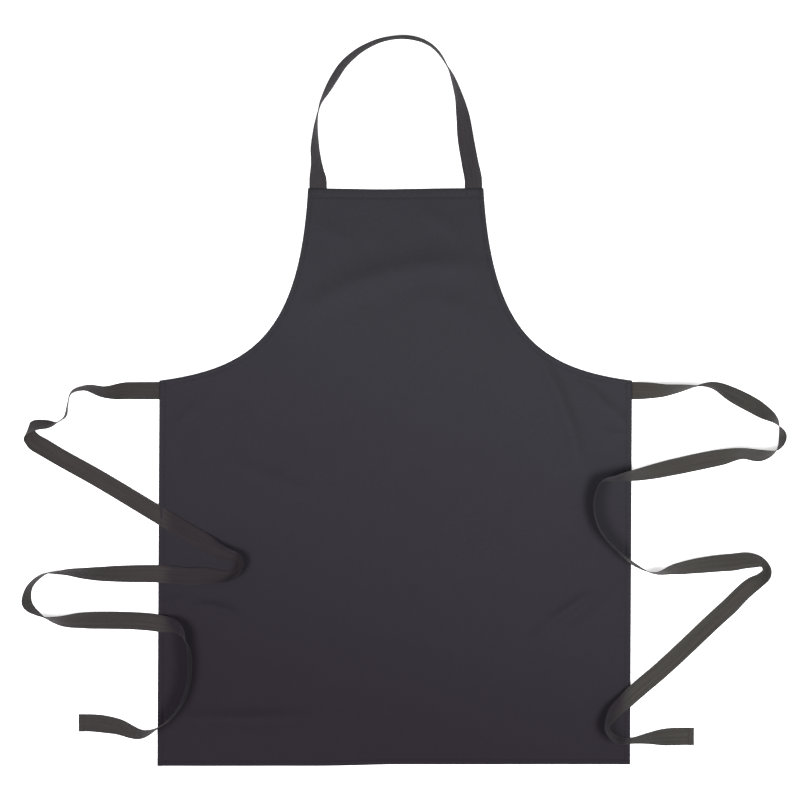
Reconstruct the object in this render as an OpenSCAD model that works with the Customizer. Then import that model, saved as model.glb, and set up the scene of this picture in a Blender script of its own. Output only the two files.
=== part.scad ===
// Bib apron of woven cloth, lying flat on its back with its front up. A strap goes round the neck,
// and two long tapes tie at the waist. +Z is up, +Y runs towards the neck and +X to the right.
// The origin is on the table, under the middle of the apron and its neck loop.

/* [Panel] */
// Width of the skirt, from side edge to side edge
skirt_w = 700; // [690:2:710]
// Length of the cloth, from the bottom edge to the top of the bib
apron_l = 855; // [850:1:860]
// Width of the bib along its top edge
bib_w = 260; // [256:2:270]
// Length of the straight side edges below the armholes
side_l = 570; // [565:1:575]
// Thickness of the cloth
cloth_t = 0.5; // [0.4:0.1:0.7]

/* [Hems] */
// Thickness of the two layers that are turned under at each edge
hem_t = 1.0; // [0.8:0.1:1.2]
// Width of the side hems
side_hem_w = 11; // [10:0.5:13]
// Width of the bottom hem
bottom_hem_w = 9; // [8:0.5:12]
// Width of the armhole hems
armhole_hem_w = 9; // [8:0.5:10]
// Width of the hem along the top of the bib
bib_hem_w = 15; // [14:1:20]

/* [Tapes] */
// Width of the woven tape of the strap and the ties
tape_w = 26; // [24:0.5:26]
// Thickness of the tape
tape_t = 1.0; // [0.8:0.1:1.0]
// Length of tape that is sewn behind the cloth
sewn_l = 30; // [20:1:40]
// Length of tape turned back at the free end of a tie
end_fold_l = 8; // [6:1:10]
// Distance from a side edge of the bib to the middle of the neck strap
strap_inset = 15; // [15:0.5:17]

/* [Stitching] */
// Width of a row of stitches
thread_w = 0.8; // [0.6:0.1:1]
// Height of a row of stitches above the cloth
thread_t = 0.3; // [0.2:0.05:0.3]

/* [Hidden] */

// The neck loop reaches this far beyond the bib, and the origin is halfway along the whole apron
loop_l = 227;
bottom_y = -(apron_l + loop_l) / 2;
bib_y = bottom_y + apron_l;
corner_y = bottom_y + side_l;
half_w = skirt_w / 2;

// Heights of the layers: the hems and sewn tape ends lie on the table, and the cloth on them
panel_z = hem_t;
top_z = panel_z + cloth_t;

// The armhole is one smooth curve. Its handles, from the top of the bib and from the side corner
bib_handle = [12, -212];
side_handle = [-140, 18];
armhole_steps = 28;

// The stitches run this far inside the inner edge of a hem
stitch_inset = 2;
// A row of stitches stops this far short of the next one
stitch_gap = 5;
// Joint clearance between a sewn end and its strap or tie
seam_gap = 0.5;
// Middle of a waist tie, below the side corner
tie_drop = 15;
strap_x = bib_w / 2 - strap_inset;
tie_y = corner_y - tie_drop;

// Cloth and tape colours
cloth_colour = "#38373d";
hem_colour = "#33323a";
tape_colour = "#45433f";
thread_colour = "#27262a";

// Lift of a tape that crosses the cloth, which clears the stitches under it
over = top_z + thread_t + seam_gap;

// Routes of the tapes. Each point is [x, y, lift, turn]: where the tape's middle is, how far its
// lower edge is above the table, and how far it is turned about its own length, 0 when it lies flat
// and 90 when it stands on its edge. All are counted from where the tape leaves the cloth.
// The neck strap, from the middle of the bib's top edge
strap_route = [
    [-strap_x, seam_gap, 0, 0], [-strap_x, 8, 0, 8], [-116, 26, 0, 42], [-119, 61, 0, 64],
    [-118, 88, 0, 80], [-113, 118, 0, 97], [-99, 147, 0, 118], [-73, 186, 0, 122],
    [-40, 210, 0, 116], [-2, 221, 0, 112], [28, 220, 0, 113], [53, 209, 0, 108],
    [74, 183, 0, 98], [84, 162, 0, 82], [93, 134, 0, 66], [99, 106, 0, 44],
    [104, 69, 0, 24], [110, 36, 0, 18], [strap_x, 8, 0, 4], [strap_x, seam_gap, 0, 0]
];
// The right waist tie, from the right side edge
right_route = [
    [seam_gap, 0, 0, 0], [42, 0, 0, 40], [81, 5, 0, 74], [115, 8, 0, 112],
    [152, -8, 0, 155], [190, -29, 0, 152], [213, -46, 0, 112], [221, -66, 0, 75],
    [213, -88, 0, 96], [190, -96, 0, 132], [164, -93, 0, 130], [129, -99, 0, 160],
    [61, -113, 0, 163], [13, -123, over, 140], [-24, -129, over, 114], [-46, -134, over, 100],
    [-57, -159, over, 99], [-50, -203, over, 99], [-23, -236, over, 98], [7, -259, over, 97],
    [32, -269, 1, 80], [59, -264, 0, 50], [104, -258, 0, 21], [150, -254, 0, 4],
    [187, -253, 0, 0], [197, -256, 1, 50], [200, -260, 3, 90], [197, -265, 5, 150],
    [180, -286, 2, 172], [130, -332, 0, 172], [46, -410, over, 170], [-7, -456, over, 163],
    [-30, -479, over, 140], [-38, -499, over, 110], [-25, -514, over, 108], [-3, -516, over, 100],
    [25, -513, 1, 122], [55, -512, 0, 162], [81, -512, 0, 180], [91, -512, 0, 180]
];
// The left waist tie, from the left side edge
left_route = [
    [-seam_gap, 0, 0, 0], [-45, 0, 0, 10], [-79, -2, 0, 48], [-109, 4, 0, 72],
    [-128, -2, 0, 78], [-134, -21, 0, 83], [-138, -39, 0, 88], [-152, -49, 0, 84],
    [-175, -55, 1, 55], [-191, -62, 6, 12], [-196, -66, 4, 90], [-192, -71, 1, 168],
    [-170, -85, 0, 180], [-89, -131, 0, 180], [-2, -183, over, 180], [60, -220, over + 1, 180],
    [105, -247, over + 6, 178], [118, -254, over + 8, 160], [122, -259, over + 5, 90],
    [117, -264, over + 2.5, 15], [88, -274, over + 0.5, 0], [0, -271, over, 8], [-101, -270, 0, 50],
    [-143, -268, 0, 80], [-169, -271, 0, 96], [-192, -294, 0, 104], [-194, -314, 0, 114],
    [-177, -330, 0, 92], [-147, -340, 0, 52], [-115, -340, 0, 20], [-2, -344, over, 5],
    [28, -350, over, 45], [42, -374, over, 88], [46, -419, over, 98], [32, -466, over, 98],
    [-1, -498, over, 92], [-22, -507, 1, 72], [-62, -496, 0, 36], [-108, -492, 0, 0],
    [-119, -492, 0, 0]
];
// The swept tape has a ring at least this often, and at least two between points of its route
ring_step = 18;

// Points of the right armhole, from the top of the bib to the side corner
function bezier(a, b, c, d, t) =
    pow(1 - t, 3) * a + 3 * pow(1 - t, 2) * t * b + 3 * (1 - t) * t * t * c + pow(t, 3) * d;
function bezier_slope(a, b, c, d, t) =
    pow(1 - t, 2) * (b - a) + 2 * (1 - t) * t * (c - b) + t * t * (d - c);
armhole_ends = [[bib_w / 2, bib_y], [half_w, corner_y]];
function armhole_point(t) = bezier(
    armhole_ends[0], armhole_ends[0] + bib_handle,
    armhole_ends[1] + side_handle, armhole_ends[1], t
);
function armhole_inward(t) = let (
    s = bezier_slope(
        armhole_ends[0], armhole_ends[0] + bib_handle,
        armhole_ends[1] + side_handle, armhole_ends[1], t
    )
) [s[1], -s[0]] / norm(s);
function armhole(inset) = [
    for (i = [0:armhole_steps])
        let (t = i / armhole_steps) armhole_point(t) + armhole_inward(t) * inset
];
function reversed(list) = [for (i = [len(list) - 1:-1:0]) list[i]];
function mirrored(list) = [for (p = list) [-p[0], p[1]]];

// Sweep of a tape along its route, by a smooth curve whose slopes suit uneven steps. Its first and
// last stretches are straight
function step(r, i) = norm([for (k = [0:2]) r[i + 1][k] - r[i][k]]);
function slope(r, i) =
    i < 2 ? (r[1] - r[0]) / step(r, 0)
    : i > len(r) - 3 ? (r[len(r) - 1] - r[len(r) - 2]) / step(r, len(r) - 2)
    : let (a = step(r, i - 1), b = step(r, i))
        ((r[i] - r[i - 1]) * b / a + (r[i + 1] - r[i]) * a / b) / (a + b);
function between(r, i, t) =
    (2 * pow(t, 3) - 3 * t * t + 1) * r[i]
    + (pow(t, 3) - 2 * t * t + t) * step(r, i) * slope(r, i)
    + (3 * t * t - 2 * pow(t, 3)) * r[i + 1]
    + (pow(t, 3) - t * t) * step(r, i) * slope(r, i + 1);
function smooth(r) = concat(
    [
        for (i = [0:len(r) - 2])
            let (n = max(2, ceil(step(r, i) / ring_step)))
                for (s = [0:n - 1]) between(r, i, s / n)
    ],
    [r[len(r) - 1]]
);
// The curve may dip a little between points, but a tape is never below the table
function place(p) = [p[0], p[1], max(p[2], 0)];
function unit(v) = v / norm(v);
function heading(q, i) = unit(place(q[min(i + 1, len(q) - 1)]) - place(q[max(i - 1, 0)]));
// The four corners of the tape's section at ring i. Its lowest corner is at the point's lift
function ring(q, i) = let (
    along = heading(q, i),
    side = unit([-along[1], along[0], 0]),
    rise = cross(along, side),
    turn = q[i][3],
    across = cos(turn) * side + sin(turn) * rise,
    face = cross(along, across),
    half_height = tape_w / 2 * abs(across[2]) + tape_t / 2 * abs(face[2]),
    middle = place(q[i]) + [0, 0, half_height],
    w = across * tape_w / 2,
    t = face * tape_t / 2
) [middle - w - t, middle + w - t, middle + w + t, middle - w + t];
// The tape's two broad faces are split along the same diagonal, so a twist keeps its thickness
function quad_faces(n) = [
    for (i = [0:n - 2]) for (k = [0:3])
        let (a = 4 * i + k, b = 4 * i + (k + 1) % 4)
            each k == 2 ? [[a, b + 4, b], [a, a + 4, b + 4]] : [[a, a + 4, b], [b, a + 4, b + 4]]
];

module tape(route) {
    q = smooth(route);
    n = len(q);
    rings = [for (i = [0:n - 1]) each ring(q, i)];
    last = 4 * (n - 1);
    faces = concat(
        [[0, 1, 2], [0, 2, 3], [last, last + 2, last + 1], [last, last + 3, last + 2]],
        quad_faces(n)
    );
    polyhedron(points = rings, faces = faces, convexity = 10);
}

// Outlines
module panel_outline() {
    right = armhole(0);
    polygon(concat(
        [[-half_w, bottom_y], [half_w, bottom_y]], reversed(right), mirrored(right)
    ));
}

// A strip along the right armhole between two insets from its edge
module armhole_strip(outer, inner) {
    polygon(concat(armhole(outer), reversed(armhole(inner))));
}

// The strips along the bib's top, the side and the bottom that their hems take up
module bib_hem_strip() {
    translate([-bib_w, bib_y - bib_hem_w]) square([2 * bib_w, bib_hem_w]);
}
module side_hem_strip() {
    translate([half_w - side_hem_w, bottom_y]) square([side_hem_w, side_l]);
}
module strap_end_outline(side) {
    translate([side * strap_x - tape_w / 2, bib_y - sewn_l]) square([tape_w, sewn_l]);
}
module tie_end_outline() {
    translate([half_w - sewn_l, tie_y - tape_w / 2]) square([sewn_l, tape_w]);
}

// Cloth
module front_panel() {
    color(cloth_colour) translate([0, 0, panel_z]) linear_extrude(cloth_t) panel_outline();
}

module bib_top_hem() {
    color(hem_colour) linear_extrude(hem_t) difference() {
        intersection() {
            panel_outline();
            bib_hem_strip();
        }
        for (side = [-1, 1]) strap_end_outline(side);
    }
}

module armhole_hem() {
    color(hem_colour) linear_extrude(hem_t) difference() {
        intersection() {
            panel_outline();
            armhole_strip(0, armhole_hem_w);
        }
        bib_hem_strip();
        side_hem_strip();
        strap_end_outline(1);
        tie_end_outline();
    }
}

module right_armhole_hem() {
    armhole_hem();
}

module left_armhole_hem() {
    mirror([1, 0, 0]) armhole_hem();
}

module side_hem() {
    color(hem_colour) linear_extrude(hem_t) difference() {
        intersection() {
            panel_outline();
            side_hem_strip();
        }
        translate([0, bottom_y]) square([half_w, bottom_hem_w]);
        tie_end_outline();
    }
}

module right_side_hem() {
    side_hem();
}

module left_side_hem() {
    mirror([1, 0, 0]) side_hem();
}

module bottom_hem() {
    color(hem_colour) translate([-half_w, bottom_y, 0]) cube([skirt_w, bottom_hem_w, hem_t]);
}

// Stitching: each row is a low ridge of thread on the front of the cloth
module thread_row(length) {
    translate([0, -thread_w / 2, 0]) cube([length, thread_w, thread_t]);
}

module bib_top_stitching() {
    length = bib_w - 2 * armhole_hem_w;
    color(thread_colour) translate([-length / 2, bib_y - bib_hem_w + stitch_inset, top_z])
        thread_row(length);
}

module armhole_stitching() {
    row = armhole_hem_w - stitch_inset;
    color(thread_colour) translate([0, 0, top_z]) linear_extrude(thread_t) difference() {
        armhole_strip(row - thread_w / 2, row + thread_w / 2);
        translate([0, bib_y - bib_hem_w - stitch_gap]) square([bib_w, bib_hem_w + 2 * stitch_gap]);
        translate([half_w - side_hem_w - stitch_gap, corner_y - tape_w]) square(2 * tape_w);
    }
}

module right_armhole_stitching() {
    armhole_stitching();
}

module left_armhole_stitching() {
    mirror([1, 0, 0]) armhole_stitching();
}

module side_stitching() {
    row_start = bottom_y + bottom_hem_w + stitch_gap;
    row_end = tie_y - tape_w / 2 - stitch_gap;
    color(thread_colour) translate([half_w - side_hem_w + stitch_inset, row_start, top_z])
        rotate([0, 0, 90]) thread_row(row_end - row_start);
}

module right_side_stitching() {
    side_stitching();
}

module left_side_stitching() {
    mirror([1, 0, 0]) side_stitching();
}

module bottom_stitching() {
    color(thread_colour)
        translate([-half_w + stitch_gap, bottom_y + bottom_hem_w - stitch_inset, top_z])
            thread_row(skirt_w - 2 * stitch_gap);
}

// A closed rectangle of stitches
module box_stitch(size) {
    color(thread_colour) linear_extrude(thread_t) difference() {
        square(size, center = true);
        square(size - [2, 2] * thread_w, center = true);
    }
}

strap_box = [tape_w - 4, bib_hem_w - 2 * stitch_inset - 3];
tie_box = [side_hem_w - stitch_inset, tape_w - 4];

module neck_strap_right_box_stitch() {
    translate([strap_x, bib_y - 1 - strap_box[1] / 2, top_z]) box_stitch(strap_box);
}

module neck_strap_left_box_stitch() {
    mirror([1, 0, 0]) neck_strap_right_box_stitch();
}

module right_tie_box_stitch() {
    translate([half_w - 1 - tie_box[0] / 2, tie_y, top_z]) box_stitch(tie_box);
}

module left_tie_box_stitch() {
    mirror([1, 0, 0]) right_tie_box_stitch();
}

// Tape ends sewn behind the cloth, each let into the hem there
module neck_strap_right_end() {
    color(tape_colour) linear_extrude(tape_t) strap_end_outline(1);
}

module neck_strap_left_end() {
    color(tape_colour) linear_extrude(tape_t) strap_end_outline(-1);
}

module right_tie_sewn_end() {
    color(tape_colour) linear_extrude(tape_t) tie_end_outline();
}

module left_tie_sewn_end() {
    mirror([1, 0, 0]) right_tie_sewn_end();
}

// Free tapes
module neck_strap() {
    color(tape_colour) translate([0, bib_y, 0]) tape(strap_route);
}

module right_waist_tie() {
    color(tape_colour) translate([half_w, tie_y, 0]) tape(right_route);
}

module left_waist_tie() {
    color(tape_colour) translate([-half_w, tie_y, 0]) tape(left_route);
}

// Puts its children at the free end of a route, with +X running back along the tape
module at_free_end(route) {
    end = route[len(route) - 1];
    back = route[len(route) - 2] - end;
    translate([end[0], end[1], tape_t]) rotate([0, 0, atan2(back[1], back[0])]) children();
}

module end_fold() {
    color(tape_colour) translate([0, -tape_w / 2, 0]) cube([end_fold_l, tape_w, tape_t]);
}

module end_stitching() {
    color(thread_colour) translate([end_fold_l - stitch_inset, -tape_w / 2 + 1, tape_t])
        cube([thread_w, tape_w - 2, thread_t]);
}

module right_tie_end_fold() {
    translate([half_w, tie_y, 0]) at_free_end(right_route) end_fold();
}

module right_tie_end_stitching() {
    translate([half_w, tie_y, 0]) at_free_end(right_route) end_stitching();
}

module left_tie_end_fold() {
    translate([-half_w, tie_y, 0]) at_free_end(left_route) end_fold();
}

module left_tie_end_stitching() {
    translate([-half_w, tie_y, 0]) at_free_end(left_route) end_stitching();
}

front_panel();
bib_top_hem();
left_armhole_hem();
right_armhole_hem();
left_side_hem();
right_side_hem();
bottom_hem();
bib_top_stitching();
left_armhole_stitching();
right_armhole_stitching();
left_side_stitching();
right_side_stitching();
bottom_stitching();
neck_strap_left_end();
neck_strap_right_end();
left_tie_sewn_end();
right_tie_sewn_end();
neck_strap_left_box_stitch();
neck_strap_right_box_stitch();
left_tie_box_stitch();
right_tie_box_stitch();
neck_strap();
left_waist_tie();
left_tie_end_fold();
left_tie_end_stitching();
right_waist_tie();
right_tie_end_fold();
right_tie_end_stitching();
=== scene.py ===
import math

import bmesh
import bpy
import numpy as np
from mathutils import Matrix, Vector


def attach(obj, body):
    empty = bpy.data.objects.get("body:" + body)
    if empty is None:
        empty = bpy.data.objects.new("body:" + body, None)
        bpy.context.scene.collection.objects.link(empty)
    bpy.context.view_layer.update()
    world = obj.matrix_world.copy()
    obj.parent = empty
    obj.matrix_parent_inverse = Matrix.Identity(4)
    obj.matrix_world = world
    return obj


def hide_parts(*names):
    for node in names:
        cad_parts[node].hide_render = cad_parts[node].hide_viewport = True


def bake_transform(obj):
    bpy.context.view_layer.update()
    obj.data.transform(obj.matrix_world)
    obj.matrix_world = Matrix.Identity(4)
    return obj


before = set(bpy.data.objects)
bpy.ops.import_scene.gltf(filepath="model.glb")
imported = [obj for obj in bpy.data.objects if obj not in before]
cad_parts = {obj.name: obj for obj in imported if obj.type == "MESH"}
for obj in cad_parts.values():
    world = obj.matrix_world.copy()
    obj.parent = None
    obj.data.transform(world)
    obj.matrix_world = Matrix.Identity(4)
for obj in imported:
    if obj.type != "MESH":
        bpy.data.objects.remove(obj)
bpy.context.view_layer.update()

# ---------------------------------------------------------------- sizes, in metres
BOTTOM_Y = -0.541
BIB_Y = 0.314
CORNER_Y = 0.029
HALF_W = 0.350
TIE_Y = 0.014
STRAP_X = 0.115
HEM_T = 0.0010
TOP_Z = 0.0015
TAPE_W = 0.026
TAPE_T = 0.0010
# From each edge to its row of stitches
SIDE_ROW = 0.0085
BOTTOM_ROW = 0.0072
ARMHOLE_ROW = 0.0068
BIB_ROW = 0.0130
# Width of each hem
SIDE_HEM = 0.011
NARROW_HEM = 0.009
BIB_HEM = 0.015
BIB_HEM_HALF = STRAP_X - TAPE_W / 2  # the hem runs between the strap's two ends
SEWN_L = 0.030  # tape sewn behind the cloth
UNDER_CLOTH = 0.003  # how far the seen part of a tape is carried under the cloth
ROW_STEP = 0.003  # between one row of a tape's points and the next
BOX_PITCH = 0.0022

# ---------------------------------------------------------------- camera
LENS, SENSOR = 90, 36  # millimetres
VIEW_WIDTH = 1.1852
VIEW_MIDDLE = (0.0063, 0.0002)
SCENE = bpy.context.scene
camera_data = bpy.data.cameras.new("camera")
camera_data.lens = LENS
camera_data.sensor_width = SENSOR
camera = bpy.data.objects.new("camera", camera_data)
camera.location = (*VIEW_MIDDLE, VIEW_WIDTH * LENS / SENSOR)
camera.rotation_euler = (0, 0, 0)
SCENE.collection.objects.link(camera)
SCENE.camera = camera

# ---------------------------------------------------------------- routes
# Each point is [x, y, lift, turn]: millimetres and degrees from where the tape leaves the cloth
STRAP_ROUTE = [
    [-115, 0.5, 0, 0], [-115, 8, 0, 8], [-116, 26, 0, 42], [-119, 61, 0, 64],
    [-118, 88, 0, 80], [-113, 118, 0, 97], [-99, 147, 0, 118], [-73, 186, 0, 122],
    [-40, 210, 0, 116], [-2, 221, 0, 112], [28, 220, 0, 113], [53, 209, 0, 108],
    [74, 183, 0, 98], [84, 162, 0, 82], [93, 134, 0, 66], [99, 106, 0, 44],
    [104, 69, 0, 24], [110, 36, 0, 18], [115, 8, 0, 4], [115, 0.5, 0, 0],
]
RIGHT_ROUTE = [
    [0.5, 0, 0, 0], [42, 0, 0, 40], [81, 5, 0, 74], [115, 8, 0, 112],
    [152, -8, 0, 155], [190, -29, 0, 152], [213, -46, 0, 112], [221, -66, 0, 75],
    [213, -88, 0, 96], [190, -96, 0, 132], [164, -93, 0, 130], [129, -99, 0, 160],
    [61, -113, 0, 163], [13, -123, 2.3, 140], [-24, -129, 2.3, 114], [-46, -134, 2.3, 100],
    [-57, -159, 2.3, 99], [-50, -203, 2.3, 99], [-23, -236, 2.3, 98], [7, -259, 2.3, 97],
    [32, -269, 1, 80], [59, -264, 0, 50], [104, -258, 0, 21], [150, -254, 0, 4],
    [187, -253, 0, 0], [197, -256, 1, 50], [200, -260, 3, 90], [197, -265, 5, 150],
    [180, -286, 2, 172], [130, -332, 0, 172], [46, -410, 2.3, 170], [-7, -456, 2.3, 163],
    [-30, -479, 2.3, 140], [-38, -499, 2.3, 110], [-25, -514, 2.3, 108], [-3, -516, 2.3, 100],
    [25, -513, 1, 122], [55, -512, 0, 162], [81, -512, 0, 180], [91, -512, 0, 180],
]
LEFT_ROUTE = [
    [-0.5, 0, 0, 0], [-45, 0, 0, 10], [-79, -2, 0, 48], [-109, 4, 0, 72],
    [-128, -2, 0, 78], [-134, -21, 0, 83], [-138, -39, 0, 88], [-152, -49, 0, 84],
    [-175, -55, 1, 55], [-191, -62, 6, 12], [-196, -66, 4, 90], [-192, -71, 1, 168],
    [-170, -85, 0, 180], [-89, -131, 0, 180], [-2, -183, 2.3, 180], [60, -220, 3.3, 180],
    [105, -247, 8.3, 178], [118, -254, 10.3, 160], [122, -259, 7.3, 90],
    [117, -264, 4.8, 15], [88, -274, 2.8, 0], [0, -271, 2.3, 8], [-101, -270, 0, 50],
    [-143, -268, 0, 80], [-169, -271, 0, 96], [-192, -294, 0, 104], [-194, -314, 0, 114],
    [-177, -330, 0, 92], [-147, -340, 0, 52], [-115, -340, 0, 20], [-2, -344, 2.3, 5],
    [28, -350, 2.3, 45], [42, -374, 2.3, 88], [46, -419, 2.3, 98], [32, -466, 2.3, 98],
    [-1, -498, 2.3, 92], [-22, -507, 1, 72], [-62, -496, 0, 36], [-108, -492, 0, 0],
    [-119, -492, 0, 0],
]


def smooth_route(route, origin):
    """The route as closely spaced [x, y, lift, turn in radians, distance] in the row frame."""
    r = np.array(route, float)
    r[:, :3] *= 0.001
    r[:, 0] += origin[0]
    r[:, 1] += origin[1]
    r[:, 3] = np.radians(r[:, 3])
    chord = np.linalg.norm(np.diff(r[:, :3], axis=0), axis=1)
    slope = np.zeros_like(r)
    slope[:2] = (r[1] - r[0]) / chord[0]
    slope[-2:] = (r[-1] - r[-2]) / chord[-1]
    for i in range(2, len(r) - 2):
        a, b = chord[i - 1], chord[i]
        slope[i] = ((r[i] - r[i - 1]) * b / a + (r[i + 1] - r[i]) * a / b) / (a + b)
    out = []
    for i, d in enumerate(chord):
        n = max(3, math.ceil(d / ROW_STEP))
        for k in range(n):
            t = k / n
            out.append(
                (2 * t**3 - 3 * t * t + 1) * r[i] + (t**3 - 2 * t * t + t) * d * slope[i]
                + (3 * t * t - 2 * t**3) * r[i + 1] + (t**3 - t * t) * d * slope[i + 1]
            )
    out.append(r[-1])
    return np.array(out)


def tape_frames(q):
    """Middle, crosswise direction and face direction of a tape along its smooth route."""
    n = len(q)
    q = np.column_stack([q[:, :2], np.maximum(q[:, 2], 0), q[:, 3]])
    ahead = q[np.minimum(np.arange(n) + 1, n - 1), :3] - q[np.maximum(np.arange(n) - 1, 0), :3]
    along = ahead / np.linalg.norm(ahead, axis=1)[:, None]
    side = np.stack([-along[:, 1], along[:, 0], np.zeros(n)], 1)
    side /= np.linalg.norm(side, axis=1)[:, None]
    rise = np.cross(along, side)
    turn = q[:, 3]
    across = np.cos(turn)[:, None] * side + np.sin(turn)[:, None] * rise
    face = np.cross(along, across)
    half = TAPE_W / 2 * np.abs(across[:, 2]) + TAPE_T / 2 * np.abs(face[:, 2])
    middle = q[:, :3] + np.stack([np.zeros(n), np.zeros(n), half], 1)
    return middle, across, face


def new_object(name, mesh, material):
    obj = bpy.data.objects.new(name, mesh)
    SCENE.collection.objects.link(obj)
    mesh.materials.append(material)
    return obj


def mesh_from(name, verts, faces, uvs):
    """A smooth mesh. Its texture map holds each vertex's lengthwise and crosswise distance in metres."""
    mesh = bpy.data.meshes.new(name)
    mesh.from_pydata([tuple(v) for v in verts], [], faces)
    mesh.update()
    mesh.polygons.foreach_set("use_smooth", [True] * len(mesh.polygons))
    layer = mesh.uv_layers.new(name="cloth")
    index = np.zeros(len(mesh.loops), int)
    mesh.loops.foreach_get("vertex_index", index)
    layer.data.foreach_set("uv", np.asarray(uvs, np.float32)[index].ravel())
    return mesh


# ---------------------------------------------------------------- materials
def node_tools(name):
    m = bpy.data.materials.new(name)
    m.use_nodes = True
    tree = m.node_tree
    shader = tree.nodes["Principled BSDF"]

    def add(kind, **inputs):
        node = tree.nodes.new(kind)
        for key, value in inputs.items():
            setattr(node, key, value)
        return node

    return m, tree, shader, add


def linear(*rgb):
    return tuple(
        (c / 255 / 12.92 if c / 255 <= 0.04045 else ((c / 255 + 0.055) / 1.055) ** 2.4) for c in rgb
    ) + (1,)


class Cloth:
    """A woven cloth. The yarns are drawn from the piece's own lengthwise and crosswise distances."""

    def __init__(self, name, dark, light, thread, bump):
        self.material, self.tree, self.shader, self.add = node_tools(name)
        self.uv = self.add("ShaderNodeUVMap", uv_map="cloth")
        self.coords = self.add("ShaderNodeTexCoord")
        self.bump, self.thread = bump, thread
        self.slub = self.noise(900, 2)
        self.yarn = self.twill()
        cloudy = self.sum(self.times(self.noise(35, 5), 0.12), self.times(self.slub, 0.88))
        self.tone = self.sum(self.times(self.yarn, 0.22), cloudy)
        self.dark, self.light = dark, light

    def math(self, op, a, b=None):
        node = self.add("ShaderNodeMath", operation=op)
        for i, v in enumerate((a, b)):
            if isinstance(v, (int, float)):
                node.inputs[i].default_value = v
            elif v is not None:
                self.tree.links.new(v, node.inputs[i])
        return node.outputs[0]

    def sum(self, a, b):
        return self.math("ADD", a, b)

    def times(self, a, b):
        return self.math("MULTIPLY", a, b)

    def noise(self, scale, detail, place=None):
        node = self.add("ShaderNodeTexNoise")
        node.inputs["Scale"].default_value = scale
        node.inputs["Detail"].default_value = detail
        self.tree.links.new(place or self.coords.outputs["Object"], node.inputs["Vector"])
        return node.outputs["Fac"]

    def twill(self):
        """The raised yarn steps sideways by one each row, which gives the fine diagonal."""
        split = self.add("ShaderNodeSeparateXYZ")
        self.tree.links.new(self.uv.outputs["UV"], split.inputs[0])
        u = self.times(split.outputs["X"], 1 / self.thread)
        v = self.times(split.outputs["Y"], 1 / self.thread)
        warp = self.math("SINE", self.times(u, 2 * math.pi))
        diagonal = self.math("SINE", self.times(self.sum(u, v), 2 * math.pi / 3))
        weft = self.math("SINE", self.times(v, 2 * math.pi))
        return self.sum(self.times(self.sum(warp, weft), 0.25), self.times(diagonal, 0.5))

    def add_ribs(self, strength):
        """Warp ribs of a tape: tones that change across it and run on along it."""
        place = self.add("ShaderNodeMapping")
        place.inputs["Scale"].default_value = (9, 330, 1)
        self.tree.links.new(self.uv.outputs["UV"], place.inputs["Vector"])
        change = self.math("SUBTRACT", self.noise(1, 1, place.outputs["Vector"]), 0.5)
        self.tone = self.sum(self.tone, self.times(change, strength))

    def colour(self):
        ramp = self.add("ShaderNodeValToRGB")
        ramp.color_ramp.elements[0].position = 0.25
        ramp.color_ramp.elements[0].color = self.dark
        ramp.color_ramp.elements[1].position = 0.75
        ramp.color_ramp.elements[1].color = self.light
        self.tree.links.new(self.tone, ramp.inputs["Fac"])
        return ramp.outputs["Color"]

    def colour_with_tint(self, share, tint):
        """Colours the cloth, multiplied by a tint as far as the share says. Either may be a socket."""
        mix = self.add("ShaderNodeMix", data_type="RGBA", blend_type="MULTIPLY")
        for socket, value in (("Factor", share), ("B", tint)):
            if isinstance(value, (int, tuple)):
                mix.inputs[socket].default_value = value
            else:
                self.tree.links.new(value, mix.inputs[socket])
        self.tree.links.new(self.colour(), mix.inputs["A"])
        self.tree.links.new(mix.outputs["Result"], self.shader.inputs["Base Color"])

    def finish(self):
        """Adds the relief and the matte, slightly fuzzy surface, and gives the material."""
        relief = self.add("ShaderNodeBump")
        relief.inputs["Strength"].default_value = self.bump
        relief.inputs["Distance"].default_value = self.thread * 0.35
        height = self.sum(self.yarn, self.times(self.slub, 0.6))
        self.tree.links.new(height, relief.inputs["Height"])
        self.tree.links.new(relief.outputs["Normal"], self.shader.inputs["Normal"])
        self.shader.inputs["Roughness"].default_value = 0.88
        self.shader.inputs["Specular IOR Level"].default_value = 0.22
        self.shader.inputs["Sheen Weight"].default_value = 0.08
        self.shader.inputs["Sheen Tint"].default_value = (0.5, 0.5, 0.55, 1)
        self.shader.inputs["Sheen Roughness"].default_value = 0.45
        return self.material


def panel_material():
    """The panel's colour is tinted warmer and darker from the bib down towards the skirt's lower left corner.
    """
    cloth = Cloth("charcoal_twill", linear(28, 28, 32), linear(38, 38, 43), 0.0007, 0.5)
    where = cloth.add("ShaderNodeSeparateXYZ")
    cloth.tree.links.new(cloth.coords.outputs["Object"], where.inputs[0])
    slant = cloth.sum(cloth.times(where.outputs["Y"], -1.7), cloth.times(where.outputs["X"], -0.55))
    share = cloth.math("MINIMUM", cloth.math("MAXIMUM", cloth.sum(slant, 0.17), 0.0), 1.0)
    cloth.colour_with_tint(share, (0.50, 0.32, 0.46, 1))
    return cloth.finish()


def tape_material(name, dark, light):
    """A ribbed tape. Its vertices' own colour holds painted shade: how much darker and more purple each part
    of it is coloured.
    """
    cloth = Cloth(name, dark, light, 0.0008, 0.7)
    cloth.add_ribs(0.7)
    # The vertices' own colour read here is painted shade, multiplied into the tape's colour
    dull = cloth.add("ShaderNodeVertexColor", layer_name="dull")
    cloth.colour_with_tint(1, dull.outputs["Color"])
    return cloth.finish()


PANEL = panel_material()
RIGHT_TAPE = tape_material("olive_grey_tape", linear(37, 35, 33), linear(52, 50, 47))
LEFT_TAPE = tape_material("brown_grey_tape", linear(33, 30, 30), linear(47, 43, 42))
NECK_TAPE = tape_material("grey_brown_tape", linear(32, 29, 31), linear(45, 42, 45))


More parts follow.
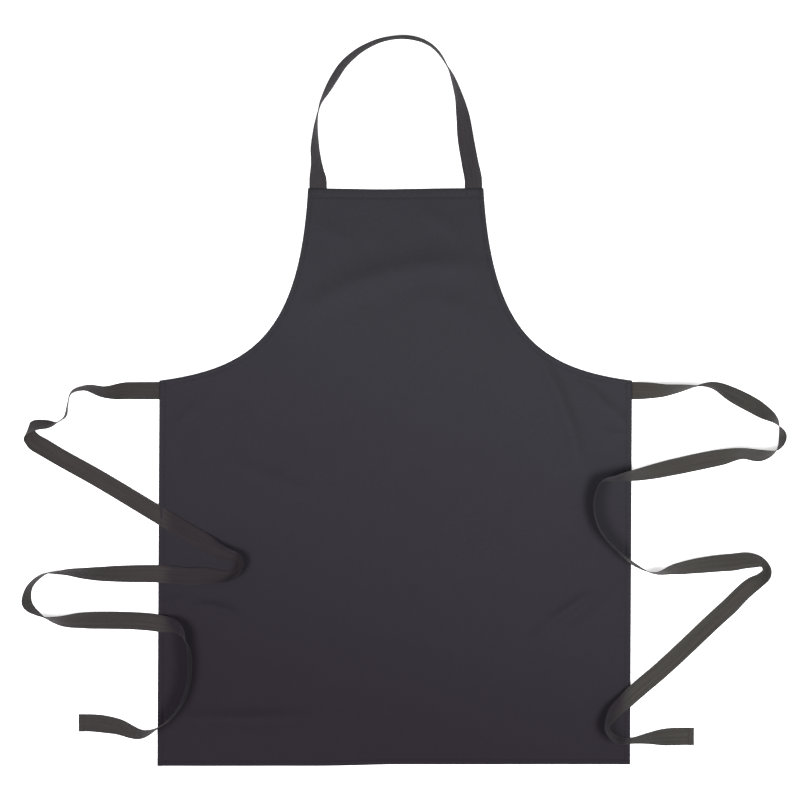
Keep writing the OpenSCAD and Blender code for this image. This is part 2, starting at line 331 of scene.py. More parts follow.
def thread_material(name, colour):
    m, tree, shader, add = node_tools(name)
    link = tree.links.new
    coords = add("ShaderNodeTexCoord")
    noise = add("ShaderNodeTexNoise")
    noise.inputs["Scale"].default_value = 2500
    link(coords.outputs["Object"], noise.inputs["Vector"])
    ramp = add("ShaderNodeValToRGB")
    ramp.color_ramp.elements[0].color = tuple(c * 0.7 for c in colour[:3]) + (1,)
    ramp.color_ramp.elements[1].color = colour
    link(noise.outputs["Fac"], ramp.inputs["Fac"])
    link(ramp.outputs["Color"], shader.inputs["Base Color"])
    shader.inputs["Roughness"].default_value = 0.8
    shader.inputs["Specular IOR Level"].default_value = 0.2
    return m


THREAD = thread_material("charcoal_thread", linear(20, 19, 22))
TAPE_THREAD = thread_material("olive_thread", linear(52, 50, 47))


# ---------------------------------------------------------------- panel
def bezier(t):
    p = np.array([[0.130, 0.314], [0.142, 0.102], [0.210, 0.047], [0.350, 0.029]])
    t = np.asarray(t)[:, None]
    return (1 - t) ** 3 * p[0] + 3 * (1 - t) ** 2 * t * p[1] + 3 * (1 - t) * t * t * p[2] + t**3 * p[3]


CURVE = bezier(np.linspace(0, 1, 400))


def half_width(y):
    """Half the panel's width at height y."""
    y = np.asarray(y, float)
    order = np.argsort(CURVE[:, 1])
    w = np.interp(y, CURVE[order, 1], CURVE[order, 0])
    return np.where(y <= CORNER_Y, HALF_W, w)


def armhole_distance(x, y):
    """Distance inside the armhole's curve, for points above the side corners."""
    p = np.stack([np.abs(x), y], 1)
    d = np.full(len(p), 1.0)
    near = (y > CORNER_Y - 0.06)
    q = p[near]
    d[near] = np.min(np.linalg.norm(q[:, None, :] - CURVE[None, ::2, :], axis=2), axis=1)
    return d


def edge_distances(x, y):
    """Distance from each edge, [side, bottom, armhole, bib], of points on the panel."""
    side = np.where(y <= CORNER_Y, HALF_W - np.abs(x), 1.0)
    return side, y - BOTTOM_Y, armhole_distance(x, y), BIB_Y - y


def crease(x, y, a, b, width, height, bow=0.0):
    """A soft ridge, or a dip when height is less than 0, from a to b that fades at its ends."""
    ax, ay = a
    bx, by = b
    length = math.hypot(bx - ax, by - ay)
    ux, uy = (bx - ax) / length, (by - ay) / length
    s = ((x - ax) * ux + (y - ay) * uy) / length
    off = (x - ax) * -uy + (y - ay) * ux - bow * 4 * s * (1 - s)
    fade = np.clip(s * (1 - s) * 4, 0, 1) ** 0.7
    return height * fade * np.exp(-((off / width) ** 2))


# Soft folds left from how the apron was folded: from, to, width, height and, if curved, bow
CREASES = [
    ((-0.140, 0.128), (0.140, 0.196), 0.020, 0.0078, 0.026),
    ((-0.118, 0.262), (-0.060, 0.232), 0.008, 0.0020),
    ((0.030, 0.290), (0.100, 0.240), 0.010, 0.0020),
    ((0.010, 0.150), (0.110, 0.128), 0.018, 0.0030, 0.008),
    ((0.205, 0.080), (0.278, -0.105), 0.010, 0.0075, 0.006),
    ((0.270, 0.030), (0.344, -0.036), 0.0060, 0.0042),
    ((0.300, -0.044), (0.347, -0.050), 0.0045, 0.0024, -0.003),
    ((-0.327, -0.040), (-0.294, -0.008), 0.007, 0.0024),
    ((-0.256, -0.086), (-0.105, -0.147), 0.012, 0.0026),
    ((-0.300, -0.304), (-0.226, -0.322), 0.0065, 0.0070, 0.006),
    ((-0.348, -0.300), (-0.310, -0.296), 0.0060, 0.0040),
    ((0.226, -0.332), (0.292, -0.284), 0.0070, 0.0070),
    ((0.200, -0.360), (0.232, -0.328), 0.0080, 0.0030),
    ((0.250, -0.360), (0.345, -0.270), 0.012, 0.0036),
    ((-0.330, -0.472), (-0.110, -0.470), 0.012, 0.0080),
    ((-0.080, -0.300), (0.140, -0.330), 0.030, 0.0020),
    ((-0.180, -0.120), (-0.020, -0.060), 0.035, 0.0020),
    ((0.170, -0.500), (0.330, -0.470), 0.012, 0.0020),
]


def panel_lift(x, y):
    """How far the front of the cloth stands above its flat height."""
    drift = np.sin(x * 23 + 1.1 + 2.2 * np.sin(y * 7))
    z = 0.00050 * (1 + drift * np.sin(y * 17 + 0.4 + 1.7 * np.sin(x * 9)))
    z += 0.00020 * (1 + np.sin(x * 61 + y * 37) * np.sin(y * 53 - x * 29 + 2.0))
    for fold in CREASES:
        z += crease(x, y, *fold)
    return z


def front_height(x, y):
    """Height of the cloth's front face, with its hems pressed in by their stitches."""
    side, bottom, arm, bib = edge_distances(x, y)
    z = np.full(len(x), TOP_Z) + panel_lift(x, y)
    # The cloth over a hem is fuller, is pulled down along the stitches, and rolls off at the edge
    for d, row in ((side, SIDE_ROW), (bottom, BOTTOM_ROW), (arm, ARMHOLE_ROW), (bib, BIB_ROW)):
        step = 0.00005 if row > 0.01 else 0.00030
        z += step * (1 - np.tanh((d - row) / 0.0010))
        z += 0.00045 * np.exp(-(((d - row * 0.45) / (row * 0.35)) ** 2))
        z -= 0.00065 * np.exp(-(((d - row) / 0.0013) ** 2))
        z += 0.00030 * np.exp(-(((d - row - 0.004) / 0.0025) ** 2))
        z -= 0.00100 * np.exp(-((d / 0.0013) ** 2))
        pucker = 0.00028 * np.sin(x * 700 + 3 * np.sin(y * 90)) * np.sin(y * 690 + 2 * np.sin(x * 80))
        z += pucker * np.exp(-(((d - row) / 0.005) ** 2))
    # Wrinkles drawn in beside each tie's root
    for s in (-1, 1):
        dx, dy = (HALF_W - s * x), y - TIE_Y
        z += 0.0006 * np.exp(-((dx / 0.05) ** 2) - ((dy - 0.3 * dx) / 0.008) ** 2) * (dx > 0)
    return z


def panel_rows():
    """Heights at which the panel is cut across, closer together along its hems."""
    near = [0, 0.0006, 0.0014, 0.0026, 0.0040, 0.0056, 0.0066, 0.0074, 0.0084, 0.0100, 0.0125]
    low = [BOTTOM_Y + d for d in near]
    wide = [0, 0.0006, 0.0016, 0.0032, 0.0055, 0.0080, 0.0105, 0.0122, 0.0130, 0.0138, 0.0155, 0.018]
    top = [BIB_Y - d for d in wide]
    corner = [CORNER_Y - d for d in (0, 0.001, 0.003, 0.006)]
    # The armhole is shallow near the side corner, so the rows follow its curve there
    arm = list(CURVE[5::5, 1][:-1])
    mid = list(np.arange(BOTTOM_Y + 0.0165, CORNER_Y - 0.009, 0.0045))
    ys = sorted(set(low + top + corner + arm + mid))
    out = [ys[0]]
    for y in ys[1:]:
        if y - out[-1] > 0.00035:
            out.append(y)
        elif y in (BIB_Y, CORNER_Y):
            out[-1] = y
    return out


def panel_columns():
    """Positions across the panel, from -1 to 1 of its half width, closer together at its hems."""
    near = [0, 0.0006, 0.0014, 0.0028, 0.0044, 0.0060, 0.0068, 0.0076, 0.0085, 0.0094, 0.0110, 0.0130, 0.0165]
    inner = list(np.linspace(0.021, HALF_W, 74))
    cols = [1 - d / HALF_W for d in near + inner]
    return sorted(set([round(c, 6) for c in cols] + [round(-c, 6) for c in cols]))


def settle(obj):
    """Moves flat cloth to where it has settled: its skirt has slid a little and the bib's top sags."""
    count = len(obj.data.vertices)
    co = np.zeros(count * 3)
    obj.data.vertices.foreach_get("co", co)
    co = co.reshape(-1, 3)
    x, y = co[:, 0].copy(), co[:, 1].copy()
    low = np.clip((CORNER_Y - y) / 0.57, 0, 1)
    rightward = np.clip((x + 0.12) / 0.14, 0, 1)
    rightward = rightward**2 * (3 - 2 * rightward)
    co[:, 0] -= 0.0030 * low
    co[:, 1] += low**3 * (0.0024 * rightward - 0.0008)
    high = np.clip((y - BIB_Y + 0.16) / 0.16, 0, 1)
    co[:, 1] -= 0.0017 * high**2 * np.exp(-(((x + 0.02) / 0.07) ** 2))
    obj.data.vertices.foreach_set("co", co.ravel())
    obj.data.update()


def build_panel():
    rows, cols = panel_rows(), np.array(panel_columns())
    grid = []
    for y in rows:
        w = float(half_width(y)) if y > CORNER_Y else HALF_W
        u = cols * HALF_W
        # Keep the hem's columns at their real distance from a narrower edge
        hem = 0.0165
        inside = np.abs(u) <= HALF_W - hem
        x = np.where(inside, u * (w - hem) / (HALF_W - hem), np.sign(u) * (w - (HALF_W - np.abs(u))))
        grid.append(np.stack([x, np.full(len(x), y)], 1))
    grid = np.array(grid)
    nr, nc = grid.shape[:2]
    flat = grid.reshape(-1, 2)
    top = front_height(flat[:, 0], flat[:, 1])
    side, bottom, arm, bib = edge_distances(flat[:, 0], flat[:, 1])
    edge = np.minimum(np.minimum(side, bottom), np.minimum(arm, bib))
    under = top - 0.0005
    hem_edge = np.minimum(np.minimum(side / 0.0105, bottom / 0.009), np.minimum(arm / 0.009, bib / 0.015))
    under = np.where(hem_edge < 1, np.minimum(under, HEM_T), under)
    roll = np.clip(edge / 0.0006, 0, 1)
    under = under - 0.0001 * roll
    verts = np.concatenate([
        np.column_stack([flat, top]), np.column_stack([flat, np.maximum(under, 0.0008)])
    ])
    n = nr * nc
    faces = []
    for r in range(nr - 1):
        for c in range(nc - 1):
            a = r * nc + c
            faces.append((a, a + 1, a + nc + 1, a + nc))
            faces.append((n + a, n + a + nc, n + a + nc + 1, n + a + 1))
    ring = (
        [c for c in range(nc)] + [r * nc + nc - 1 for r in range(1, nr)]
        + [(nr - 1) * nc + c for c in range(nc - 2, -1, -1)] + [r * nc for r in range(nr - 2, 0, -1)]
    )
    for i, a in enumerate(ring):
        b = ring[(i + 1) % len(ring)]
        faces.append((a, n + a, n + b, b))
    uvs = np.concatenate([flat, flat])
    return new_object("apron_panel", mesh_from("apron_panel", verts, faces, uvs), PANEL)


def strip_mesh(name, outer, inner, z0, z1, material):
    """A hem's turned-under layers: a strip between two lines, with a soft folded edge."""
    outer, inner = np.array(outer), np.array(inner)
    n = len(outer)
    deep = z1 - z0
    profile = [(0.0, z1), (0.015, z0 + deep * 0.5), (0.05, z0), (0.5, z0)]
    profile += [(0.93, z0), (0.985, z0 + deep * 0.2), (1.0, z1)]
    verts, uvs = [], []
    for k, (s, z) in enumerate(profile):
        p = outer * (1 - s) + inner * s
        wobble = 0.0001 * np.sin(np.arange(n) * 1.7 + k)
        zz = np.full(n, z) + (np.abs(wobble) if 1 < k < 5 else 0)
        verts.append(np.column_stack([p, zz]))
        uvs.append(p[:, ::-1])
    verts = np.concatenate(verts)
    uvs = np.concatenate(uvs)
    faces = []
    m = len(profile)
    for k in range(m):
        j = (k + 1) % m
        for i in range(n - 1):
            faces.append((k * n + i, k * n + i + 1, j * n + i + 1, j * n + i))
    faces.append(tuple(k * n for k in range(m)))
    faces.append(tuple(k * n + n - 1 for k in range(m - 1, -1, -1)))
    mesh = mesh_from(name, verts, faces, uvs)
    bm = bmesh.new()
    bm.from_mesh(mesh)
    bmesh.ops.recalc_face_normals(bm, faces=bm.faces)
    bm.to_mesh(mesh)
    bm.free()
    return new_object(name, mesh, material)


def line(a, b, n):
    return [(a[0] + (b[0] - a[0]) * i / (n - 1), a[1] + (b[1] - a[1]) * i / (n - 1)) for i in range(n)]


def inset_curve(d):
    t = np.linspace(0, 1, 90)
    p = bezier(t)
    tangent = np.gradient(p, axis=0)
    tangent /= np.linalg.norm(tangent, axis=1)[:, None]
    inward = np.stack([tangent[:, 1], -tangent[:, 0]], 1)
    return p + inward * d


def mirrored(points, sign):
    return [(sign * x, y) for x, y in points]


# ---------------------------------------------------------------- stitches
STITCH_H = 0.00028
STITCH_W = 0.0007


def stitch_mesh(name, paths, material, pitch=0.0030, base=None):
    """A row of separate lockstitches along each path: short plump loops that dive in at their ends."""
    verts, faces, uvs = [], [], []
    for path in paths:
        p = np.array(path, float)
        seg = np.linalg.norm(np.diff(p, axis=0), axis=1)
        length = np.concatenate([[0], np.cumsum(seg)])
        count = max(1, int(length[-1] / pitch))
        pitch_here = length[-1] / count
        for i in range(count):
            s0, s1 = (i + 0.12) * pitch_here, (i + 0.88) * pitch_here
            s = np.linspace(s0, s1, 5)
            c = np.stack([np.interp(s, length, p[:, k]) for k in range(p.shape[1])], 1)
            d = c[-1, :2] - c[0, :2]
            d /= np.linalg.norm(d)
            across = np.array([-d[1], d[0]])
            rise = np.array([-0.35, 0.75, 1.0, 0.75, -0.35]) * STITCH_H
            wide = np.array([0.45, 0.9, 1.0, 0.9, 0.45]) * STITCH_W / 2
            ground = front_height(c[:, 0], c[:, 1]) if base is None else np.full(5, base)
            start = len(verts)
            for k in range(5):
                for angle in (0, 60, 120, 180):
                    a = math.radians(angle)
                    off = across * math.cos(a) * wide[k]
                    up = rise[k] * math.sin(a) if rise[k] > 0 else rise[k] - 0.00012
                    verts.append((c[k, 0] + off[0], c[k, 1] + off[1], ground[k] + up))
                    uvs.append((s[k], wide[k] * math.cos(a)))
            for k in range(4):
                for j in range(4):
                    a, b = start + k * 4 + j, start + k * 4 + (j + 1) % 4
                    faces.append((a, a + 4, b + 4, b))
            faces.append((start, start + 1, start + 2, start + 3))
            faces.append((start + 19, start + 18, start + 17, start + 16))
    mesh = mesh_from(name, verts, faces, uvs)
    return new_object(name, mesh, material)


def straight(a, b):
    n = max(2, int(math.hypot(b[0] - a[0], b[1] - a[1]) / 0.004))
    return line(a, b, n)


# ---------------------------------------------------------------- tapes
ACROSS = np.array([-1, -0.97, -0.90, -0.78, -0.4, 0, 0.4, 0.78, 0.90, 0.97, 1]) * TAPE_W / 2
LIPS = np.array([0.35, 0.85, 1.0, 0.78, 0.72, 0.72, 0.72, 0.78, 1.0, 0.85, 0.35]) * TAPE_T / 2
RIBS = np.linspace(-1, 1, 13) * TAPE_W / 2
MIDDLE = 6

# Where a tie folds over on itself, its two edges are drawn apart. Each row is one edge's [x, y, rise]
# and the other's, in millimetres from the same place as the route
RIGHT_FOLD = [
    ([153, -265, 0], [153, -239, 0]), ([172, -263, 0], [171, -239, 6]), ([184, -262, 0], [184, -242, 14]),
    ([190, -261, 0], [193, -248, 19]), ([193, -263, 0], [200, -257, 22]), ([193, -266, 0], [203, -266, 22]),
    ([190, -269, 0], [201, -276, 21]), ([183, -273, 0], [196, -283, 18]), ([173, -277, 0], [189, -291, 11]),
    ([163, -284, 0], [180, -300, 5]), ([152, -294, 0], [169, -311, 2]), ([137, -309, 0], [155, -326, 0]),
]
LEFT_FOLD = [
    ([-152, -54, 25], [-152, -47, 0]), ([-163, -56, 24], [-163, -44, 0]), ([-173, -57, 22], [-173, -43, 0]),
    ([-182, -59, 20], [-183, -43, 0]), ([-190, -63, 18], [-189, -45, 0]), ([-197, -67, 13], [-192, -48, 0]),
    ([-200, -73, 6], [-190, -52, 0]), ([-198, -79, 1], [-186, -57, 0]), ([-192, -87, 0], [-179, -65, 0]),
    ([-179, -95, 0], [-166, -72, 0]), ([-163, -104, 0], [-150, -81, 0]),
]
# On the apron the left tie turns back in a funnel, which lifts its outer edge
LEFT_FUNNEL = [
    ([48, -226, 0], [61, -205, 0]), ([64, -236, 0], [77, -215, 3]), ([80, -245, 0], [92, -226, 8]),
    ([95, -251, 0], [107, -234, 12]), ([106, -253, 0], [119, -240, 15]), ([111, -256, 0], [125, -249, 17]),
    ([112, -259, 0], [125, -260, 17]), ([108, -264, 0], [120, -270, 16]), ([98, -267, 0], [109, -279, 13]),
    ([82, -264, 0], [94, -284, 6]), ([64, -261, 0], [73, -286, 2]), ([45, -261, 0], [50, -286, 0]),
]


def sweep_grid(q):
    """Rows of points across the tape, which is a little cupped where it stands up."""
    middle, across, face = tape_frames(q)
    cup = 0.0009 * np.sin(q[:, 3])[:, None] ** 2 * (1 - (RIBS / RIBS[-1]) ** 2)[None, :]
    return middle[:, None, :] + across[:, None, :] * RIBS[None, :, None] + face[:, None, :] * cup[:, :, None]


def nearest(points, p):
    return int(np.argmin(np.linalg.norm(points[:, :2] - p[:2], axis=1)))


def apart(a, b):
    return np.linalg.norm(a - b)


def add_fold(grid, fold, origin, base, hollow):
    """Replaces the tape where it folds over on itself by rows drawn between its two edges."""
    ends = np.array([[*a, *b] for a, b in fold], float) * 0.001
    ends += np.array([origin[0], origin[1], base] * 2)
    fine = []
    for i in range(len(ends) - 1):
        before, after = ends[max(i - 1, 0)], ends[min(i + 2, len(ends) - 1)]
        a, b = ends[i], ends[i + 1]
        for t in np.linspace(0, 1, 8, endpoint=False):
            fine.append(0.5 * (2 * a + (b - before) * t + (2 * before - 5 * a + 4 * b - after) * t**2
                               + (3 * a - before - 3 * b + after) * t**3))
    fine.append(ends[-1])
    fine = np.array(fine)
    share = ((RIBS / RIBS[-1] + 1) / 2)[None, :, None]
    rows = fine[:, None, :3] * (1 - share) + fine[:, None, 3:] * share
    # The cloth hollows between its edges as it rises, so that it is steepest at its upper edge
    rise = fine[:, 5] - fine[:, 2]
    up = np.where(rise[:, None] > 0, share[:, :, 0], 1 - share[:, :, 0])
    deep = hollow * np.abs(rise)[:, None]
    rows[:, :, 2] -= deep * (up - up**2.6)
    way = fine[:, 3:5] - fine[:, :2]
    way *= (np.sign(rise) / np.linalg.norm(way, axis=1))[:, None]
    rows[:, :, :2] += way[:, None, :] * (deep * 0.25 * np.sin(math.pi * up))[:, :, None]
    for k, row in enumerate(rows):
        arc = np.concatenate([[0], np.cumsum(np.linalg.norm(np.diff(row, axis=0), axis=1))])
        even = np.linspace(0, arc[-1], len(RIBS))
        rows[k] = np.stack([np.interp(even, arc, row[:, c]) for c in range(3)], 1)

    middle = grid[:, MIDDLE]
    peak = nearest(middle, rows[len(rows) // 2, MIDDLE])
    first = nearest(middle[:peak], rows[0, MIDDLE])
    last = peak + nearest(middle[peak:], rows[-1, MIDDLE])
    if apart(rows[0, 0], grid[first, 0]) > apart(rows[0, -1], grid[first, 0]):
        rows = rows[:, ::-1]
    rest = grid[last:]
    if apart(rows[-1, 0], rest[0, 0]) > apart(rows[-1, -1], rest[0, 0]):
        rest = rest[:, ::-1]
    blend = 10
    into, away = grid[first] - rows[0], rest[0] - rows[-1]
    for k in range(blend):
        ease = (1 - k / blend) ** 2
        rows[k] += into * ease
        rows[-1 - k] += away * ease
    joined = np.concatenate([grid[:first], rows, rest[1:]])
    lo, hi = first - 4, first + len(rows) + 4
    for _ in range(12):
        joined[lo:hi] += 0.3 * ((joined[lo - 1:hi - 1] + joined[lo + 1:hi + 1]) / 2 - joined[lo:hi])
    joined[lo:hi, :, 2] = np.maximum(joined[lo:hi, :, 2], base)
    return joined


def row_lengths(grid):
    steps = np.linalg.norm(np.diff(grid[:, MIDDLE], axis=0), axis=1)
    return np.concatenate([[0], np.cumsum(steps)])


def tape_piece(name, grid, length, material, cap_start=True, cap_end=True):
    """A woven tape around the grid's rows: flat faces between two thick woven edges."""
    n = len(grid)
    wide = np.stack([
        np.stack([np.interp(ACROSS, RIBS, grid[i, :, k]) for k in range(3)], 1) for i in range(n)
    ])
    along = np.gradient(wide, axis=0)
    over = np.gradient(wide, axis=1)
    face = np.cross(along, over)
    face /= np.linalg.norm(face, axis=2)[..., None] + 1e-12
    ripple = 0.00010 * np.sin(length * 190) + 0.00008 * np.sin(length * 83 + 1)
    wide = wide + face * (ripple[:, None] * (ACROSS / ACROSS[-1])[None, :] ** 2)[..., None]
    top = wide + face * LIPS[None, :, None]
    low = wide - face * LIPS[None, :, None]
    rings = np.concatenate([top, low[:, ::-1]], axis=1)
    m = rings.shape[1]
    verts = rings.reshape(-1, 3)
    w = np.concatenate([ACROSS, ACROSS[::-1]])
    uvs = np.stack([np.repeat(length, m), np.tile(w, n)], 1)
    faces = []
    for i in range(n - 1):
        for k in range(m):
            a, b = i * m + k, i * m + (k + 1) % m
            faces.append((a, b, b + m, a + m))
    # The end faces have their own corners, so that they don't bend the shading beside them
    for use, row, order in ((cap_start, 0, -1), (cap_end, n - 1, 1)):
        if use:
            start = len(verts)
            verts = np.concatenate([verts, rings[row]])
            uvs = np.concatenate([uvs, uvs[row * m:(row + 1) * m]])
            faces.append(tuple(range(start, start + m))[::order])
    mesh = mesh_from(name, verts, faces, uvs)
    # Painted shade: a tape is coloured darker and more purple where it lies on the apron, more so where it
    # stands up or lies on the left
    inside = np.clip((HALF_W - np.abs(verts[:, 0])) / 0.02, 0, 1) * (verts[:, 1] < BIB_Y)
    raised = np.clip((verts[:, 2] - 0.004) / 0.008, 0, 1)
    deep = inside * (0.37 + 0.36 * raised + 0.10 * (verts[:, 0] < 0))
    colours = np.stack([1 - deep, 1 - deep * 1.12, 1 - deep * 0.88, np.ones(len(verts))], 1)
    layer = mesh.color_attributes.new("dull", "FLOAT_COLOR", "POINT")
    layer.data.foreach_set("color", colours.astype(np.float32).ravel())
    return new_object(name, mesh, material)


def with_root(grid, length):
    """Carries the tape a little way under the edge of the cloth that it is sewn to."""
    way = grid[0, MIDDLE] - grid[2, MIDDLE]
    way[2] = 0
    way /= np.linalg.norm(way)
    row = grid[0] + way * UNDER_CLOTH
    return np.concatenate([row[None], grid]), np.concatenate([[-UNDER_CLOTH], length])


def end_hem(name, grid, length, material):
    """The tape's free end, turned back on its upper side: a second layer with a rounded nose."""
    end = length[-1]
    fold = 0.0075
    take = np.linspace(end - fold, end, 7)
    rows = np.stack([
        np.stack([np.interp(take, length, grid[:, j, k]) for k in range(3)], 1) for j in range(len(RIBS))
    ], 1)
    ahead = rows[-1, MIDDLE] - rows[0, MIDDLE]
    ahead /= np.linalg.norm(ahead)
    step = TAPE_T * 0.84
    layers = [rows[i] + np.array([0, 0, step]) for i in range(7)]
    for angle in (60, 100, 140, 180):
        a = math.radians(angle)
        turn = np.array([0, 0, step / 2 * (1 + math.cos(a))])
        layers.append(rows[-1] + ahead * 0.00045 * math.sin(a) + turn)
    layers = np.array(layers)
    layers[0] -= np.array([0, 0, 0.0002])
    arc = np.concatenate([[0], np.cumsum(np.linalg.norm(np.diff(layers[:, MIDDLE], axis=0), axis=1))])
    return tape_piece(name, layers, arc, material)


def stitch_ladder(name, grid, length, back, material):
    """Stitches in a row across the tape, near its free end."""
    at = length[-1] - back
    a = np.array([np.interp(at, length, grid[:, 0, k]) for k in range(3)])
    b = np.array([np.interp(at, length, grid[:, -1, k]) for k in range(3)])
    inset = (b - a) * 0.06
    top = max(a[2], b[2]) + TAPE_T * 1.23
    path = straight(tuple((a + inset)[:2]), tuple((b - inset)[:2]))
    return stitch_mesh(name, [path], material, pitch=BOX_PITCH, base=top)


strap_grid = sweep_grid(smooth_route(STRAP_ROUTE, (0, BIB_Y)))
strap_grid, strap_length = with_root(strap_grid, row_lengths(strap_grid))
onward = strap_grid[-1] - strap_grid[-3]
tail = strap_grid[-1] + onward / np.linalg.norm(onward[MIDDLE]) * UNDER_CLOTH
tail[:, 2] = strap_grid[-1, :, 2]
strap_grid = np.concatenate([strap_grid, tail[None]])
strap_length = np.append(strap_length, strap_length[-1] + UNDER_CLOTH)
neck = tape_piece("neck_strap_tape", strap_grid, strap_length, NECK_TAPE)
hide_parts("neck_strap")
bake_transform(neck)

ROOT = 0.024
LEFT_FOLDS = [(LEFT_FOLD, 0.0006, 0.25), (LEFT_FUNNEL, 0.0028, 1.1)]
RIGHT_FOLDS = [(RIGHT_FOLD, 0.0006, 0.4)]
for side, s, route, folds in (("left", -1, LEFT_ROUTE, LEFT_FOLDS), ("right", 1, RIGHT_ROUTE, RIGHT_FOLDS)):
    origin = (s * HALF_W, TIE_Y)
    tape_cloth = LEFT_TAPE if s < 0 else RIGHT_TAPE
    grid = sweep_grid(smooth_route(route, origin))
    for fold, base, hollow in folds:
        grid = add_fold(grid, fold, origin, base, hollow)
    length = row_lengths(grid)
    cut = int(np.searchsorted(length, ROOT))
    root_grid, root_length = with_root(grid[:cut + 1], length[:cut + 1])
    root = tape_piece(f"{side}_tie_root", root_grid, root_length, tape_cloth, cap_end=False)
    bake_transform(root)
    tie = tape_piece(f"{side}_waist_tie_tape", grid[cut:], length[cut:], tape_cloth, cap_start=False)
    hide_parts(f"{side}_waist_tie")
    hem = end_hem(f"{side}_tie_turned_end", grid, length, tape_cloth)
    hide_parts(f"{side}_tie_end_fold")
    ladder = stitch_ladder(f"{side}_tie_end_stitches", grid, length, 0.0058, TAPE_THREAD)
    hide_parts(f"{side}_tie_end_stitching")
    for piece, slot in ((tie, "tape"), (hem, "tape"), (ladder, "thread")):
        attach(piece, f"{side}_tie")

# ---------------------------------------------------------------- tape ends sewn behind the cloth
def sewn_tape(name, node, start, way, material):
    """A flat length of tape behind the cloth, from its raw end to just short of the seam."""
    start, way = np.array(start), np.array(way)
    left = np.array([-way[1], way[0]])
    s = np.linspace(0, SEWN_L - UNDER_CLOTH - 0.0002, 12)
    z = 0.00052 + 0.00006 * np.sin(s * 900)
    grid = np.stack([
        np.column_stack([start + way * s[:, None] + left * w, z]) for w in RIBS
    ], 1)
    obj = tape_piece(name, grid, s, material)
    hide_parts(node)
    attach(obj, "apron")


for side, s in (("left", -1), ("right", 1)):
    sewn_tape(f"neck_strap_{side}_sewn_tape", f"neck_strap_{side}_end",
              (s * STRAP_X, BIB_Y - SEWN_L), (0, 1), NECK_TAPE)
    sewn_tape(f"{side}_tie_sewn_tape", f"{side}_tie_sewn_end",
              (s * (HALF_W - SEWN_L), TIE_Y), (s, 0), LEFT_TAPE if s < 0 else RIGHT_TAPE)

# ---------------------------------------------------------------- panel, hems and stitches
panel = build_panel()
settle(panel)
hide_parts("front_panel")
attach(panel, "apron")

HEM_LIFT = 0.00005


def hem_fold(name, node, outer, inner):
    hem = strip_mesh(name, outer, inner, HEM_LIFT, HEM_T, PANEL)
    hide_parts(node)
    return hem


def level(y, half, n):
    """A line across the apron at height y."""
    return line((-half, y), (half, y), n)


hems = []
for side, s in (("left", -1), ("right", 1)):
    low, high = BOTTOM_Y + NARROW_HEM, TIE_Y - 0.0125
    outer = line((HALF_W, low), (HALF_W, high), 140)
    inner = line((HALF_W - SIDE_HEM, low), (HALF_W - SIDE_HEM, high), 140)
    hems.append(hem_fold(f"{side}_side_hem_fold", f"{side}_side_hem", mirrored(outer, s), mirrored(inner, s)))
    outer, inner = inset_curve(0.0), inset_curve(NARROW_HEM)
    # The armhole's hem stops short of the strap's end and of the tie's end
    good = (inner[:, 1] < BIB_Y - BIB_HEM - 0.0005) & (inner[:, 0] < HALF_W - SEWN_L)
    hems.append(hem_fold(f"{side}_armhole_hem_fold", f"{side}_armhole_hem",
                         mirrored(outer[good], s), mirrored(inner[good], s)))
hems.append(hem_fold("bottom_hem_fold", "bottom_hem",
                     level(BOTTOM_Y, HALF_W, 170), level(BOTTOM_Y + NARROW_HEM, HALF_W, 170)))
hems.append(hem_fold("bib_top_hem_fold", "bib_top_hem",
                     level(BIB_Y, BIB_HEM_HALF, 60), level(BIB_Y - BIB_HEM, BIB_HEM_HALF, 60)))
for hem in hems:
    settle(hem)
    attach(hem, "apron")


def box(x0, x1, y0, y1, upright_first=False):
    """The four sides of a small box of stitches."""
    level_sides = [straight((x0, y0), (x1, y0)), straight((x0, y1), (x1, y1))]
    uprights = [straight((x0, y0), (x0, y1)), straight((x1, y0), (x1, y1))]
    return uprights + level_sides if upright_first else level_sides + uprights


def row(name, node, paths, **options):
    obj = stitch_mesh(name, paths, THREAD, **options)
    settle(obj)
    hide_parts(node)
    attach(obj, "apron")
    return obj


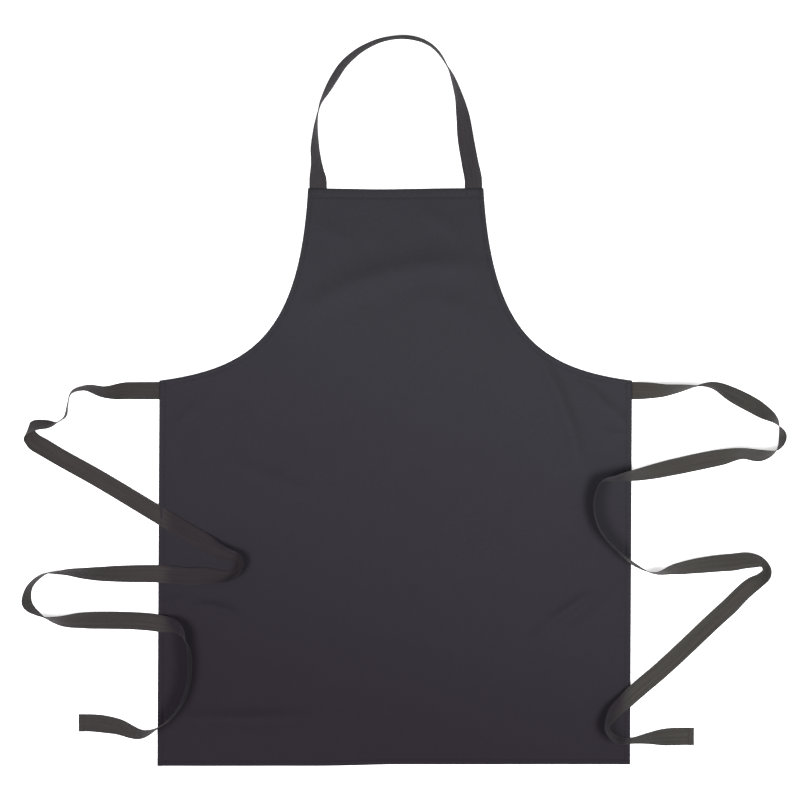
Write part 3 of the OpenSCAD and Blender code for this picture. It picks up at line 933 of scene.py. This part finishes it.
for side, s in (("left", -1), ("right", 1)):
    x = s * (HALF_W - SIDE_ROW)
    row(f"{side}_side_stitches", f"{side}_side_stitching",
        [straight((x, BOTTOM_Y + 0.012), (x, TIE_Y - 0.016))])
    curve = inset_curve(ARMHOLE_ROW)
    curve = curve[(curve[:, 1] < BIB_Y - 0.018) & (curve[:, 0] < HALF_W - 0.014)]
    row(f"{side}_armhole_stitches", f"{side}_armhole_stitching", [mirrored(curve, s)])
    row(f"{side}_tie_box_stitches", f"{side}_tie_box_stitch",
        box(s * (HALF_W - 0.0015), s * (HALF_W - 0.0090), TIE_Y - 0.0115, TIE_Y + 0.0110, upright_first=True),
        pitch=BOX_PITCH)
    row(f"neck_strap_{side}_box_stitches", f"neck_strap_{side}_box_stitch",
        box(s * (STRAP_X - 0.0105), s * (STRAP_X + 0.0105), BIB_Y - 0.0105, BIB_Y - 0.0018),
        pitch=BOX_PITCH)
row("bottom_stitches", "bottom_stitching",
    [straight((-HALF_W + 0.003, BOTTOM_Y + BOTTOM_ROW), (HALF_W - 0.003, BOTTOM_Y + BOTTOM_ROW))])
row("bib_top_stitches", "bib_top_stitching", [straight((-0.121, BIB_Y - BIB_ROW), (0.121, BIB_Y - BIB_ROW))])

# ---------------------------------------------------------------- floor and light
floor_mesh = bpy.data.meshes.new("floor")
floor_mesh.from_pydata([(-6, -6, 0), (6, -6, 0), (6, 6, 0), (-6, 6, 0)], [], [(0, 1, 2, 3)])
floor_material, tree, shader, add = node_tools("pale_floor")
shader.inputs["Base Color"].default_value = (0.93, 0.93, 0.93, 1)
shader.inputs["Emission Color"].default_value = (1, 1, 1, 1)
shader.inputs["Emission Strength"].default_value = 0.5
shader.inputs["Roughness"].default_value = 0.9
shader.inputs["Specular IOR Level"].default_value = 0.1
floor = new_object("floor", floor_mesh, floor_material)
floor.location.z = -0.0002

world = bpy.data.worlds.new("studio")
SCENE.world = world
world.use_nodes = True
world.node_tree.nodes["Background"].inputs["Color"].default_value = (1, 1, 1, 1)
world.node_tree.nodes["Background"].inputs["Strength"].default_value = 0.42


def softbox(name, sign, power, colour):
    """A square light at one side of the apron, a little below its middle."""
    place = (sign * 1.08, -0.55, 1.70)
    target = (sign * 0.1, 0.25, 0)
    light = bpy.data.lights.new(name, "AREA")
    light.color = colour
    light.shape = "RECTANGLE"
    light.size = light.size_y = 0.75
    light.energy = power
    obj = bpy.data.objects.new(name, light)
    obj.location = place
    obj.rotation_euler = (Vector(target) - Vector(place)).to_track_quat("-Z", "Y").to_euler()
    SCENE.collection.objects.link(obj)


softbox("right_softbox", 1, 48, (1, 1, 1))
softbox("left_softbox", -1, 46, (1, 0.96, 1))
SCENE.view_settings.view_transform = "Standard"
